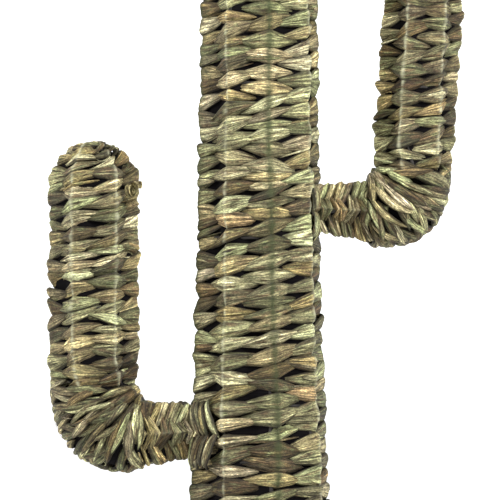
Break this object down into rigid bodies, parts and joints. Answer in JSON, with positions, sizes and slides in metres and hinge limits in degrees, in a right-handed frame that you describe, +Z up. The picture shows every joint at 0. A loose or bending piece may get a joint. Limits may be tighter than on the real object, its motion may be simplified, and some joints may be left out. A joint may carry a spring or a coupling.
{
  "type": "woven cactus ornament",
  "caption": "Free-standing cactus figure with a tapered trunk and two upturned arms, plaited from dried flat leaves over a hidden wire frame.",
  "frame": {"origin": "middle of the foot, on the floor the felt pads stand on", "axes": "+Z up along the trunk, +X toward the higher arm, front faces -Y"},
  "size_m": [0.374, 0.142, 0.719],
  "materials": {
    "leaf_weave": "dull, fibrous",
    "frame_wire": "dark, dull",
    "base_plate": "matt black",
    "felt": "felt"
  },
  "bodies": {
    "root": {"trunk_weave_lower": "leaf_weave", "trunk_weave_middle": "leaf_weave", "trunk_weave_upper": "leaf_weave", "trunk_weave_crown": "leaf_weave", "left_arm_weave_root": "leaf_weave", "left_arm_weave_elbow": "leaf_weave", "left_arm_weave_upright": "leaf_weave", "left_arm_weave_crown": "leaf_weave", "right_arm_weave_root": "leaf_weave", "right_arm_weave_elbow": "leaf_weave", "right_arm_weave_upright": "leaf_weave", "right_arm_weave_crown": "leaf_weave", "trunk_stake_1": "frame_wire", "trunk_stake_2": "frame_wire", "trunk_stake_3": "frame_wire", "trunk_stake_4": "frame_wire", "trunk_stake_5": "frame_wire", "trunk_stake_6": "frame_wire", "trunk_stake_7": "frame_wire", "trunk_stake_8": "frame_wire", "trunk_hoop_1": "frame_wire", "trunk_hoop_2": "frame_wire", "trunk_hoop_3": "frame_wire", "trunk_hoop_4": "frame_wire", "trunk_hoop_5": "frame_wire", "trunk_hoop_6": "frame_wire", "trunk_hoop_7": "frame_wire", "trunk_hoop_8": "frame_wire", "left_arm_stake_1": "frame_wire", "left_arm_stake_2": "frame_wire", "left_arm_stake_3": "frame_wire", "left_arm_stake_4": "frame_wire", "left_arm_stake_5": "frame_wire", "left_arm_stake_6": "frame_wire", "right_arm_stake_1": "frame_wire", "right_arm_stake_2": "frame_wire", "right_arm_stake_3": "frame_wire", "right_arm_stake_4": "frame_wire", "right_arm_stake_5": "frame_wire", "right_arm_stake_6": "frame_wire", "left_arm_hoop_1": "frame_wire", "left_arm_hoop_2": "frame_wire", "left_arm_hoop_3": "frame_wire", "right_arm_hoop_1": "frame_wire", "right_arm_hoop_2": "frame_wire", "right_arm_hoop_3": "frame_wire", "trunk_crown_ring": "frame_wire", "left_arm_crown_ring": "frame_wire", "right_arm_crown_ring": "frame_wire", "base_ring": "frame_wire", "base_cross": "frame_wire", "base_binding": "leaf_weave", "base_plate": "base_plate", "felt_pads": "felt"}
  },
  "joints": []
}
